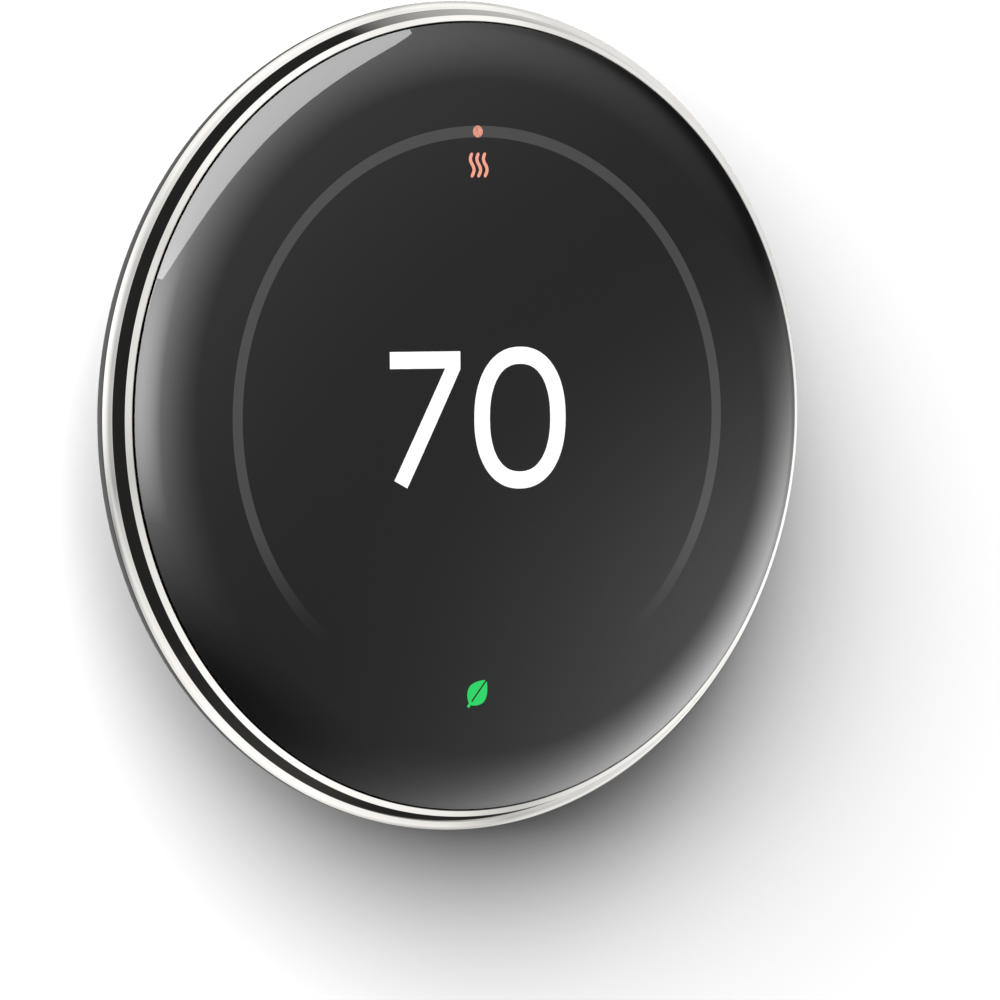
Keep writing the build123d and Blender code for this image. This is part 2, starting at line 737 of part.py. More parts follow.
def make_lens():
    """Domed front lens with a rolled shoulder and a flat pocket behind it for the display."""
    rim_sine = sin(radians(shoulder_angle))
    meet_sine = sin(radians(dome_edge_slope))
    rim_start = lens_radius - rim_break
    # the dome runs into the shoulder where both have the same slope
    run = rim_start - shoulder_radius * rim_sine
    dome_radius = shoulder_radius + run / meet_sine
    dome_mid = rolled(dome_radius, 0, lens_apex, 0, meet_sine / 2)
    dome_edge = rolled(dome_radius, 0, lens_apex, 0, meet_sine)
    middle_sine = (meet_sine + rim_sine) / 2
    shoulder_mid = rolled(shoulder_radius, run, dome_edge[1], meet_sine, middle_sine)
    rim_top = rolled(shoulder_radius, run, dome_edge[1], meet_sine, rim_sine)
    rim_low = (lens_radius, rim_top[1] - rim_break)
    p = {
        "apex": (0, lens_apex), "dome": dome_edge, "rim_top": rim_top, "rim": rim_low,
        "foot": (lens_radius, skirt_low), "skirt": (lens_pocket, skirt_low),
        "pocket": (lens_pocket, panel_top), "axis": (0, panel_top),
    }
    q = {name: (r, -h) for name, (r, h) in p.items()}
    wall = Wire([
        ThreePointArc(q["apex"], (dome_mid[0], -dome_mid[1]), q["dome"]),
        ThreePointArc(q["dome"], (shoulder_mid[0], -shoulder_mid[1]), q["rim_top"]),
        Line(q["rim_top"], q["rim"]), Line(q["rim"], q["foot"]), Line(q["foot"], q["skirt"]),
        Line(q["skirt"], q["pocket"]), Line(q["pocket"], q["axis"]), Line(q["axis"], q["apex"]),
    ])
    return revolve(Face(wall), Axis.Y, 360)


def make_sensor_strip():
    """Flexible strip round the top of the display with the light and motion sensors."""
    return sector(slab(sensor_inner, sensor_outer, flange_top, flange_top + 0.25), 90, 34)


def make_sensor_chip(angle, length):
    """One sensor on the strip under the lens."""
    middle = (sensor_inner + sensor_outer) / 2
    width = sensor_outer - sensor_inner - 0.5
    return spun(block((middle, 0), (width, length), flange_top + 0.25, flange_top + 1.15), angle)


# ---------------------------------------------------------------- ring
def make_outer_ring():
    """Polished turning ring: bead, tapered band and lip in front, rounded back and inner flange."""
    wide = (ring_radius, ring_wide)
    bead_end = (ring_radius - bead[0], ring_wide + bead[1])
    cone_end = (ring_radius - cone[0], ring_wide + cone[1])
    lip_end = (ring_radius - lip[0], ring_wide + lip[1])
    bead_chord = sqrt(bead[0] ** 2 + bead[1] ** 2)
    bead_mid = (ring_radius - bead[0] / 2 + bead_crown * bead[1] / bead_chord,
                ring_wide + bead[1] / 2 + bead_crown * bead[0] / bead_chord)
    tail_end = (ring_radius - tail[0], ring_tail)
    # the back rounds off from the widest line, then tapers straight to its end
    round_middle = (ring_radius - back_round, ring_wide)
    reach = (tail_end[0] - round_middle[0], tail_end[1] - round_middle[1])
    turn = atan2(reach[1], reach[0]) + acos(back_round / hypot(*reach))
    tail_start, tail_mid = [
        (round_middle[0] + back_round * cos(a), round_middle[1] + back_round * sin(a))
        for a in (turn, turn / 2)
    ]
    back_edge = (tail_end[0] - 0.3, ring_back)
    flange_bore = hub_radius + 2 * running_gap
    p = [
        wide, bead_end, cone_end, lip_end, (lens_bore, lip_end[1] - 0.15), (lens_bore, ring_step),
        (bearing_bore, ring_step), (bearing_bore, ring_flange_top), (flange_bore, ring_flange_top),
        (flange_bore, ring_back), back_edge, tail_end, tail_start,
    ]
    q = [(r, -h) for r, h in p]
    straight = [Line(a, b) for a, b in zip(q[1:-1], q[2:])]
    wall = Wire([
        ThreePointArc(q[0], (bead_mid[0], -bead_mid[1]), q[1]), *straight,
        ThreePointArc(q[-1], (tail_mid[0], -tail_mid[1]), q[0]),
    ])
    return revolve(Face(wall), Axis.Y, 360)


magnet_inner = liner_bore + 1.4
magnet_outer = bearing_bore - 0.5
magnet_low = ring_flange_top + 0.8
liner_play = 0.01


def make_ring_liner():
    """Low-friction liner pressed into the ring, with a groove for the magnets."""
    corners = [
        (liner_bore, ring_flange_top), (bearing_bore - liner_play, ring_flange_top),
        (bearing_bore - liner_play, liner_top), (magnet_outer, liner_top),
        (magnet_outer, magnet_low), (magnet_inner, magnet_low), (magnet_inner, liner_top),
        (liner_bore, liner_top),
    ]
    return turned(corners)


def make_encoder_magnets():
    """Many-poled magnet ring in the liner's groove, read by the sensor on the board."""
    return turned(slab(magnet_inner + press_gap, magnet_outer - press_gap, magnet_low,
                       liner_top - 0.2))


# ---------------------------------------------------------------- files
os.makedirs("parts", exist_ok=True)

write("base_plate", make_base_plate())
write("base_board", make_base_board())
write("terminal_block_right", make_terminal_block(0.0))
write("terminal_block_left", make_terminal_block(180.0))
write("wire_clamps", *each_solid([make_clamp(a) for a in terminal_angles]))
for number, angle in enumerate(terminal_angles, start=1):
    write(f"terminal_button_{number:02d}", make_button(angle))
write("base_socket", make_base_socket())
write("level_vial", make_level_vial())
write("level_fluid", make_level_fluid())
write("latch_clips", *each_solid([make_latch_clip(p) for p in latch_places]))
write("base_screws", *each_solid([
    screw(p, base_board_top, base_floor - 1.4, small_screw_shank, small_screw_head,
          small_screw_head_height, from_back=False)
    for p in base_screw_places
]))

write("rear_cup", make_rear_cup())
write("snap_posts", *each_solid([make_snap_post(p) for p in latch_places]))
write("mid_frame", make_mid_frame())
write("guide_bushes", *each_solid([make_guide_bush(p) for p in guide_places]))
write("main_board", make_main_board())
write("battery", make_battery())
write("battery_pad", block((0, battery_centre_z), (battery_size[0] - 2, battery_size[1] - 2),
                           cup_floor_top, battery_low))
write("head_plug", make_head_plug())
write("plug_pins", *each_solid([make_pin(p) for p in pin_places]))
write("usb_shell", make_usb_shell())
write("usb_tongue", make_usb_tongue())
write("click_switch", make_click_switch())
write("switch_plunger", make_switch_plunger())
write("shield_cans", *each_solid([make_can(p) for p in can_places]))
write("board_chips", *each_solid([make_chip(*c) for c in chip_list]))
write("flex_connector", make_flex_connector())
write("ring_sensor", make_ring_sensor())
write("climate_sensor", make_climate_sensor())
write("speaker", make_speaker())
write("board_screws", *each_solid([
    screw(p, board_top, frame_low + 0.1, small_screw_shank, small_screw_head,
          small_screw_head_height, from_back=False)
    for p in board_screw_places
]))
write("cup_screws", *each_solid([
    screw(p, cup_back + cup_screw_recess, board_low - 0.1, cup_screw_shank, cup_screw_head,
          cup_screw_recess - 0.05)
    for p in cup_screw_places
]))

write("carrier", make_carrier())
write("ring_retainer", make_retainer())
write("retainer_screws", *each_solid([
    screw(p, retainer_low, hub_back + 2.4, small_screw_shank, small_screw_head,
          small_screw_head_height)
    for p in retainer_screw_places
]))
write("shoulder_screws", *each_solid([
    screw(p, guide_head_top, guide_reach, guide_shank, guide_head, guide_head_height)
    for p in guide_places
]))
write("return_springs", *each_solid([make_spring(p) for p in guide_places]))
write("backlight", turned(slab(0, display_radius, carrier_seat, panel_low)))
write("display_panel", turned(slab(0, display_radius, panel_low, panel_top)))
write("display_flex", make_display_flex())
write("sensor_strip", make_sensor_strip())
write("sensor_chips", *each_solid([
    make_sensor_chip(a, l) for a, l in ((90.0, 3.0), (68.0, 5.0), (112.0, 5.0))
]))
write("lens_gasket", turned(slab(lens_pocket, flange_radius, flange_top, skirt_low)))
write("front_lens", make_lens())

write("outer_ring", make_outer_ring())
write("ring_liner", make_ring_liner())
write("encoder_magnets", make_encoder_magnets())

print(f"ring diameter {2 * ring_radius:.2f}, depth {lens_apex:.2f}, widest at {ring_wide:.2f}")
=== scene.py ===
import math

import bpy
import numpy as np
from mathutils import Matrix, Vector


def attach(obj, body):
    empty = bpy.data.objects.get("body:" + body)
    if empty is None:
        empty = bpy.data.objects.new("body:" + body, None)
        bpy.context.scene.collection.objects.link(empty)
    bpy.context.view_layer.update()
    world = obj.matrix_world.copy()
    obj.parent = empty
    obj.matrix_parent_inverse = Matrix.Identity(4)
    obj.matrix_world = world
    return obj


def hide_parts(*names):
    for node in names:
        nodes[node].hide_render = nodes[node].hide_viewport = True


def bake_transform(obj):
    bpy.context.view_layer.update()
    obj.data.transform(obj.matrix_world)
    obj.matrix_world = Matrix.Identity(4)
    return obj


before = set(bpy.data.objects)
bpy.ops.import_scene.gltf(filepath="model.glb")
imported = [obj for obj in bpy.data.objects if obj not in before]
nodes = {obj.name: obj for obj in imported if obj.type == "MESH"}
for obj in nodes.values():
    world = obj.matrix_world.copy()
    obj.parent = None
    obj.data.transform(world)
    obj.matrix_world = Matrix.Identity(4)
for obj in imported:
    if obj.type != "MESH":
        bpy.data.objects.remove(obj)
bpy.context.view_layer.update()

MM = 0.001


# ---- Base plate, blocks and buttons ----
# The dish on the wall, its two wire terminal blocks and their release buttons are injection
# moulded in pale plastics. The moulds are spark eroded, so every face has a fine dry grain.
def colour(code):
    """The linear colour of an sRGB hex code: c / 12.92 in the toe, and above it
    ((c + 0.055) / 1.055)^2.4."""
    parts = np.array([int(code[k:k + 2], 16) for k in (1, 3, 5)]) / 255
    linear = np.where(parts <= 0.04045, parts / 12.92, ((parts + 0.055) / 1.055) ** 2.4)
    return (*map(float, linear), 1.0)


def add(tree, kind, values=None, links=None, **settings):
    """Adds one shader node: settings are its own options, values go on its sockets, and links
    join its sockets to (node, output) pairs."""
    made = tree.nodes.new(kind)
    for name, value in settings.items():
        setattr(made, name, value)
    for name, value in (values or {}).items():
        made.inputs[name].default_value = value
    for name, (source, output) in (links or {}).items():
        tree.links.new(source.outputs[output], made.inputs[name])
    return made


def start_finish(name):
    """A new empty material: the material, its tree, its surface node and its Object coordinates."""
    material = bpy.data.materials.new(name)
    material.use_nodes = True
    tree = material.node_tree
    tree.nodes.clear()
    end = add(tree, "ShaderNodeOutputMaterial")
    place = add(tree, "ShaderNodeTexCoord")
    return material, tree, end, place


def two_tones(tree, source, output, low, high, code_low, code_high):
    """A colour that runs from one tone to another as a pattern's value goes from low to high."""
    ramp = add(tree, "ShaderNodeValToRGB", None, {"Fac": (source, output)})
    stops = ramp.color_ramp.elements
    stops[0].position, stops[1].position = low, high
    stops[0].color, stops[1].color = colour(code_low), colour(code_high)
    return ramp


def spread(tree, source, output, low, high):
    """A pattern's middle values, spread over a range such as a roughness."""
    return add(tree, "ShaderNodeMapRange", {"From Min": 0.3, "From Max": 0.7,
                                            "To Min": low, "To Max": high},
               {"Value": (source, output)})


def moulded(name, dark, light, gloss, grain_mm=0.14, relief_mm=0.006):
    """Moulded plastic: its tone drifts over about 9 mm, and a grain of the stated size raises the
    surface by the stated relief and scatters its roughness round gloss."""
    material, tree, end, place = start_finish(name)
    drift = add(tree, "ShaderNodeTexNoise", {"Scale": 1 / (9 * MM), "Detail": 3.0},
                {"Vector": (place, "Object")})
    grain = add(tree, "ShaderNodeTexNoise", {"Scale": 1 / (grain_mm * MM), "Detail": 2.0},
                {"Vector": (place, "Object")})
    tone = two_tones(tree, drift, "Fac", 0.3, 0.7, dark, light)
    rough = spread(tree, grain, "Fac", gloss - 0.06, gloss + 0.08)
    bump = add(tree, "ShaderNodeBump", {"Strength": 0.5, "Distance": relief_mm * MM},
               {"Height": (grain, "Fac")})
    shader = add(tree, "ShaderNodeBsdfPrincipled", {"IOR": 1.5},
                 {"Base Color": (tone, "Color"), "Roughness": (rough, "Result"),
                  "Normal": (bump, "Normal")})
    tree.links.new(shader.outputs["BSDF"], end.inputs["Surface"])
    return material


def dress(material, *names):
    """Gives these CAD nodes their finish."""
    for name in names:
        for place in nodes[name].material_slots:
            place.material = material


dress(moulded("pale grey polycarbonate", "#cfd2d3", "#d9dbdb", 0.46), "base_plate")
dress(moulded("light grey nylon", "#b9bcbe", "#c4c6c8", 0.5, 0.2), "terminal_block_left",
      "terminal_block_right")
button_names = [f"terminal_button_{number:02d}" for number in range(1, 13)]
dress(moulded("off-white acetal button", "#e4e3df", "#eeedea", 0.3, 0.3, 0.002), *button_names)


# ---- Springs and screws ----
# Hairpin latch clips, wire clamps and screws are drawn or pressed steel. Drawing leaves fine
# streaks, and the screws are zinc plated, with a slightly cloudy crystal bloom.
def worked_metal(name, dark, light, rough_low, rough_high, streak_mm, relief_mm=0.001):
    """Bare or plated metal: streaks stretched eight to one along Z tint it, roughen it and
    raise it by the stated relief."""
    material, tree, end, place = start_finish(name)
    stretched = add(tree, "ShaderNodeMapping", {"Scale": (1.0, 1.0, 0.125)},
                    {"Vector": (place, "Object")})
    streak = add(tree, "ShaderNodeTexNoise", {"Scale": 1 / (streak_mm * MM), "Detail": 4.0},
                 {"Vector": (stretched, "Vector")})
    tone = two_tones(tree, streak, "Fac", 0.3, 0.7, dark, light)
    rough = spread(tree, streak, "Fac", rough_low, rough_high)
    bump = add(tree, "ShaderNodeBump", {"Strength": 0.4, "Distance": relief_mm * MM},
               {"Height": (streak, "Fac")})
    shader = add(tree, "ShaderNodeBsdfPrincipled", {"Metallic": 1.0},
                 {"Base Color": (tone, "Color"), "Roughness": (rough, "Result"),
                  "Normal": (bump, "Normal")})
    tree.links.new(shader.outputs["BSDF"], end.inputs["Surface"])
    return material


spring_steel = worked_metal("bright spring steel", "#9a9893", "#b8b6b0", 0.18, 0.32, 0.12)
dress(spring_steel, "latch_clips", "wire_clamps")
dress(worked_metal("zinc plated screw", "#a4a8ab", "#c6cacc", 0.22, 0.42, 0.5), "base_screws",
      "board_screws", "cup_screws", "retainer_screws", "shoulder_screws")


# ---- Circuit boards ----
# The base's board is under green solder mask and the main board under black. Copper tracks
# show through the mask as slightly paler raised lines; the tinned vias between them are not drawn.
def masked_board(name, mask, track, pitch_mm=1.1):
    """A circuit board: edges between cells of the stated pitch are the tracks, paler and raised
    under a glossy mask."""
    material, tree, end, place = start_finish(name)
    cells = add(tree, "ShaderNodeTexVoronoi",
                {"Scale": 1 / (pitch_mm * MM), "Randomness": 0.55},
                {"Vector": (place, "Object")}, feature="DISTANCE_TO_EDGE", distance="EUCLIDEAN")
    line = add(tree, "ShaderNodeMapRange",
               {"From Min": 0.07, "From Max": 0.12, "To Min": 1.0, "To Max": 0.0},
               {"Value": (cells, "Distance")})
    tone = two_tones(tree, line, "Result", 0.0, 1.0, mask, track)
    bump = add(tree, "ShaderNodeBump", {"Strength": 0.6, "Distance": 0.03 * MM},
               {"Height": (line, "Result")})
    shader = add(tree, "ShaderNodeBsdfPrincipled", {"Roughness": 0.28, "IOR": 1.5},
                 {"Base Color": (tone, "Color"), "Normal": (bump, "Normal")})
    tree.links.new(shader.outputs["BSDF"], end.inputs["Surface"])
    return material


green_board = masked_board("green solder mask", "#0c3a26", "#1c5b3e")
dress(green_board, "base_board", "climate_sensor")
dress(masked_board("black solder mask", "#08090a", "#1b1c1e"), "main_board", "ring_sensor")


# ---- Sockets, plugs and chips ----
# Header bodies, chips, sounder, mid frame and carrier are black mouldings of different gloss.
# The plug's pins are gold plated, and the shield cans are tinned sheet.
connector_black = moulded("black connector moulding", "#111214", "#191a1c", 0.4)
dress(connector_black, "base_socket", "head_plug", "usb_tongue", "switch_plunger")
dress(moulded("chip epoxy", "#15161a", "#1f2024", 0.55, 0.08), "board_chips", "sensor_chips")
dress(moulded("sounder case", "#121213", "#1a1a1b", 0.3), "speaker")
dress(moulded("glass filled black nylon", "#101112", "#1b1c1d", 0.58, 0.25, 0.01), "mid_frame",
      "carrier")
dress(moulded("natural acetal", "#dcd8cc", "#e6e2d8", 0.36), "guide_bushes", "flex_connector",
      "ring_liner")
dress(moulded("bonded ferrite", "#1b1b1d", "#28282b", 0.6, 0.1), "encoder_magnets")
dress(worked_metal("gold plated contact", "#b8923c", "#d9b662", 0.16, 0.26, 0.1), "plug_pins")
dress(worked_metal("tinned sheet", "#b0b1ae", "#cfd0cc", 0.2, 0.34, 1.5, 0.004), "shield_cans")


# ---- Spirit level ----
# A clear acrylic block with a bored vial of yellow-green fluid in it, and the bubble's empty room.
def clear_solid(name, tint, bend, cloud_mm):
    """Clear plastic or fluid: light passes through and is tinted; faint flow marks of the stated
    size make it a little less clear in places."""
    material, tree, end, place = start_finish(name)
    flow = add(tree, "ShaderNodeTexNoise", {"Scale": 1 / (cloud_mm * MM), "Detail": 2.0},
               {"Vector": (place, "Object")})
    rough = spread(tree, flow, "Fac", 0.0, 0.06)
    shader = add(tree, "ShaderNodeBsdfPrincipled",
                 {"Base Color": colour(tint), "IOR": bend, "Transmission Weight": 1.0},
                 {"Roughness": (rough, "Result")})
    tree.links.new(shader.outputs["BSDF"], end.inputs["Surface"])
    return material


dress(clear_solid("clear acrylic", "#f3f8f6", 1.49, 3.0), "level_vial")
dress(clear_solid("level fluid", "#c8e23a", 1.38, 2.0), "level_fluid")


# ---- Rear cup ----
# The head's back shell is one soft white moulding with air slots low down, screwed on from
# behind. Its snap posts and charging port shell are turned and folded stainless steel.
dress(moulded("soft white polycarbonate", "#cfd0d0", "#dadada", 0.42, 0.16), "rear_cup")
dress(worked_metal("turned stainless", "#a9a7a2", "#c2c0bb", 0.2, 0.3, 0.15), "snap_posts",
      "usb_shell", "click_switch", "ring_retainer")


# ---- Battery ----
# A flat cell in an aluminium laminate pouch, which creases a little, on a foam pad.
def pouch_foil(name):
    """Laminate foil: creases 4 mm apart raise it 0.08 mm, and a fine 0.2 mm weave dulls it."""
    material, tree, end, place = start_finish(name)
    crease = add(tree, "ShaderNodeTexVoronoi", {"Scale": 1 / (4 * MM)},
                 {"Vector": (place, "Object")}, feature="SMOOTH_F1")
    weave = add(tree, "ShaderNodeTexNoise", {"Scale": 1 / (0.2 * MM)},
                {"Vector": (place, "Object")})
    bump = add(tree, "ShaderNodeBump", {"Strength": 0.5, "Distance": 0.08 * MM},
               {"Height": (crease, "Distance")})
    rough = spread(tree, weave, "Fac", 0.26, 0.44)
    tone = two_tones(tree, weave, "Fac", 0.3, 0.7, "#b5b6b8", "#cacbcd")
    shader = add(tree, "ShaderNodeBsdfPrincipled", {"Metallic": 0.85},
                 {"Base Color": (tone, "Color"), "Roughness": (rough, "Result"),
                  "Normal": (bump, "Normal")})
    tree.links.new(shader.outputs["BSDF"], end.inputs["Surface"])
    return material


dress(pouch_foil("aluminium laminate"), "battery")
dress(moulded("black foam tape", "#161616", "#222222", 0.9, 0.3, 0.04), "battery_pad",
      "lens_gasket")


# ---- Display stack ----
# White light guide, black glass panel, and the amber sensor strip that lies round the display.
dress(moulded("white light guide", "#dedede", "#e8e8e6", 0.3, 0.4, 0.002), "backlight")
dress(moulded("black display glass", "#060607", "#09090a", 0.08, 0.6, 0.0005), "display_panel")
amber_film = moulded("amber polyimide", "#8a4a12", "#a35d1c", 0.25, 0.5, 0.002)
dress(amber_film, "sensor_strip")


# ---- Return springs and ribbon ----
# Three coil springs push the front out again after a press, and the display's ribbon folds down
# to the main board. Both are built here in one fixed shape; on the thermostat they bend between
# the head and the front as it is pressed.
def profile_along(name, path, across, up, closed_ring):
    """A closed tube: at each path point, a ring of points is path + across * i + up * j, where i
    and j are the profile's two coordinates; the ends are closed by flat caps. Faces look outward
    when across x up points along the path."""
    rows, spokes = across.shape[0], closed_ring.shape[0]
    ring = (path[:, None] + across[:, None] * closed_ring[None, :, :1]
            + up[:, None] * closed_ring[None, :, 1:])
    index = np.arange(rows * spokes).reshape(rows, spokes)
    after = np.roll(index, -1, axis=1)
    sides = np.stack([index[:-1], after[:-1], after[1:], index[1:]], -1).reshape(-1, 4)
    faces = [*sides.tolist(), index[0][::-1].tolist(), index[-1].tolist()]
    return finish_mesh(name, ring.reshape(-1, 3), faces)


def finish_mesh(name, points, faces):
    """An object at the origin from points in millimetres and their faces."""
    mesh = bpy.data.meshes.new(name)
    mesh.from_pydata((np.asarray(points) * MM).tolist(), [], faces)
    mesh.validate()
    mesh.shade_smooth()
    piece = bpy.data.objects.new(name, mesh)
    bpy.context.scene.collection.objects.link(piece)
    return piece


spring_low, spring_high = 14.15, 18.05
spring_radius, spring_wire, spring_turns = 2.225, 0.175, 5.0
flat_coil, easing = 0.4, 0.8
round_wire = np.stack([np.cos(np.linspace(0, 2 * np.pi, 12, endpoint=False)),
                       np.sin(np.linspace(0, 2 * np.pi, 12, endpoint=False))], -1) * spring_wire
guide_circle = 28.0
for number, angle in enumerate((90.0, 210.0, 330.0), start=1):
    # turn angle runs evenly; the height eases in and out so that both end coils lie flat
    run = np.linspace(0, 1, 240)
    turn = 2 * np.pi * spring_turns * run
    climb = spring_low + spring_wire + (spring_high - spring_low - 2 * spring_wire) * (
        run - np.sin(2 * np.pi * run) / (2 * np.pi) * easing)
    centre = np.array([math.cos(math.radians(angle)), math.sin(math.radians(angle))]) * guide_circle
    outward = np.stack([np.cos(turn), np.zeros_like(turn), np.sin(turn)], -1)
    route = outward * spring_radius + np.stack(
        [np.full_like(turn, centre[0]), -climb, np.full_like(turn, centre[1])], -1)
    upward = np.tile([0.0, -1.0, 0.0], (len(turn), 1))
    spring = profile_along(f"return_spring_{number}", route, upward, outward, round_wire)
    spring.data.materials.append(spring_steel)
    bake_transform(spring)
    if number == 1:
        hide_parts("return_springs")

ribbon_corners = np.array([[-27.7, 19.1], [-27.7, 15.63], [-26.9, 14.63], [-20.2, 14.63]])


def fillets(corners, radii, steps=8):
    """Points and directions along a chain whose inner corners are bridged by arcs. For unit
    directions a and b from a corner to its neighbours, w half the angle between them and R the
    radius, the centre is corner + (a + b) / |a + b| * R / sin w; the arc runs between the feet
    corner + a R / tan w and corner + b R / tan w."""
    middle = corners[1:-1]
    back, ahead = corners[:-2] - middle, corners[2:] - middle
    back = back / np.linalg.norm(back, axis=1, keepdims=True)
    ahead = ahead / np.linalg.norm(ahead, axis=1, keepdims=True)
    half = np.arccos(np.clip((back * ahead).sum(1), -1, 1))[:, None] / 2
    radius = np.asarray(radii, float)[:, None]
    inward = back + ahead
    centre = middle + inward / np.linalg.norm(inward, axis=1, keepdims=True) * radius / np.sin(half)
    first = middle + back * radius / np.tan(half) - centre
    last = middle + ahead * radius / np.tan(half) - centre
    sweep = (np.pi - 2 * half)[:, :, None]
    t = np.linspace(0, 1, steps)[None, :, None]
    one, two = np.sin((1 - t) * sweep) / np.sin(sweep), np.sin(t * sweep) / np.sin(sweep)
    points = centre[:, None] + one * first[:, None] + two * last[:, None]
    ways = -one * back[:, None] + two * ahead[:, None]
    return points.reshape(-1, 2), ways.reshape(-1, 2)


bent, heading = fillets(ribbon_corners, [0.45, 0.45])
bent = np.vstack([ribbon_corners[:1], bent, ribbon_corners[-1:]])
heading = np.vstack([heading[:1], heading, heading[-1:]])
ribbon_path = np.stack([np.zeros(len(bent)), -bent[:, 1], bent[:, 0]], -1)
ribbon_up = np.stack([np.zeros(len(bent)), -heading[:, 0], -heading[:, 1]], -1)
ribbon_across = np.tile([-1.0, 0.0, 0.0], (len(bent), 1))
ribbon_half, ribbon_skin = 4.0, 0.075
flat_section = np.array([[-ribbon_half, -ribbon_skin], [ribbon_half, -ribbon_skin],
                         [ribbon_half, ribbon_skin], [-ribbon_half, ribbon_skin]])
ribbon = profile_along("display_ribbon", ribbon_path, ribbon_across, ribbon_up, flat_section)
ribbon.data.materials.append(amber_film)
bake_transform(ribbon)
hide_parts("display_flex")


# ---- Wire clamps ----
# Each terminal holds its wire with a pressed spring steel leaf, pushed flat by its button. The
# CAD's clamp is rigid and its pressed button cuts into it, so this leaf is thinner and simpler.
clamp_thickness, clamp_foot, clamp_top = 0.12, 2.86, 3.95
clamp_run = np.array([[15.9, 0.0], [16.9, 0.0], [18.4, 0.10], [20.2, 0.72], [21.0, 0.94],
                     [21.6, 0.97]])
clamp_path, clamp_ways = fillets(clamp_run, [1.0, 2.0, 1.5, 0.6], steps=6)
clamp_path = np.vstack([clamp_run[:1], clamp_path, clamp_run[-1:]])
clamp_ways = np.vstack([clamp_ways[:1], clamp_ways, clamp_ways[-1:]])
clamp_half = 1.5
clamp_section = np.array([[-clamp_half, 0.0], [clamp_half, 0.0], [clamp_half, clamp_thickness],
                         [-clamp_half, clamp_thickness]])
half_turns = [-42.5, -25.5, -8.5, 8.5, 25.5, 42.5]
for number, angle in enumerate(half_turns + [180 + turn for turn in half_turns], start=1):
    a = math.radians(angle)
    out, side = np.array([math.cos(a), 0, math.sin(a)]), np.array([-math.sin(a), 0, math.cos(a)])
    away = np.array([0.0, -1.0, 0.0])
    route = clamp_path[:, :1] * out + (clamp_foot + clamp_path[:, 1:]) * away
    risen = clamp_ways[:, :1] * away - clamp_ways[:, 1:] * out
    leaf = profile_along(f"wire_clamp_{number:02d}", route, np.tile(side, (len(route), 1)), risen,
                         clamp_section)
    leaf.data.materials.append(spring_steel)
    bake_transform(leaf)
    if number == 1:
        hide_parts("wire_clamps")


# ---- Outer ring ----
# The turning ring is machined from stainless steel bar and polished to a mirror. From the back
# it has a rounded flank, a thin bead at its widest line, a tapered band and a lip by the lens.
def turned(name, outline, ways, on_axis, steps=512):
    """A surface of revolution about the thermostat's axis: the point for turn angle t and outline
    point (r, h) is (r cos t, -h, r sin t), and its normal is the outline's left-hand normal turned
    the same way. An outline with both ends on the axis is closed there by two poles."""
    t = np.linspace(0, 2 * np.pi, steps, endpoint=False)
    spin = np.stack([np.cos(t), np.zeros(steps), np.sin(t)], -1)
    along = np.array([0.0, -1.0, 0.0])
    points = outline[:, None, :1] * spin + outline[:, None, 1:] * along
    normals = -ways[:, None, 1:] * spin + ways[:, None, :1] * along
    body = slice(1, -1) if on_axis else slice(None)
    rows = points[body].shape[0]
    index = np.arange(rows * steps).reshape(rows, steps)
    after = np.roll(index, -1, axis=1)
    if on_axis:
        low, high = index[:-1], index[1:]
        low_after, high_after = after[:-1], after[1:]
    else:
        low, high = index, np.roll(index, -1, axis=0)
        low_after, high_after = after, np.roll(after, -1, axis=0)
    faces = np.stack([low, high, high_after, low_after], -1).reshape(-1, 4).tolist()
    points, normals = points[body].reshape(-1, 3), normals[body].reshape(-1, 3)
    if on_axis:
        poles = outline[[0, -1], 1][:, None] * along
        pole = len(points)
        points = np.vstack([points, poles])
        normals = np.vstack([normals, [along * ways[0, 0], along * ways[-1, 0]]])
        faces += np.stack([np.full(steps, pole), index[0], after[0]], -1).tolist()
        faces += np.stack([np.full(steps, pole + 1), after[-1], index[-1]], -1).tolist()
    piece = finish_mesh(name, points, faces)
    normals /= np.linalg.norm(normals, axis=1, keepdims=True)
    piece.data.normals_split_custom_set_from_vertices(normals.tolist())
    return piece


def polished_steel(name):
    """Mirror-polished stainless: polishing lines run round the ring about 0.05 mm apart and are
    far too shallow to see singly; handling leaves faint duller clouds some millimetres wide."""
    material, tree, end, place = start_finish(name)
    lines = add(tree, "ShaderNodeTexWave",
                {"Scale": 1 / (0.05 * MM) / 20, "Distortion": 2.0, "Detail": 2.0},
                {"Vector": (place, "Object")}, wave_type="RINGS", rings_direction="Y")
    cloud = add(tree, "ShaderNodeTexNoise", {"Scale": 1 / (7 * MM), "Detail": 4.0},
                {"Vector": (place, "Object")})
    rough = spread(tree, cloud, "Fac", 0.05, 0.11)
    tone = two_tones(tree, cloud, "Fac", 0.3, 0.7, "#d3d0cc", "#dbd9d5")
    bump = add(tree, "ShaderNodeBump", {"Strength": 0.06, "Distance": 0.0004 * MM},
               {"Height": (lines, "Fac")})
    shader = add(tree, "ShaderNodeBsdfPrincipled", {"Metallic": 1.0},
                 {"Base Color": (tone, "Color"), "Roughness": (rough, "Result"),
                  "Normal": (bump, "Normal")})
    tree.links.new(shader.outputs["BSDF"], end.inputs["Surface"])
    return material


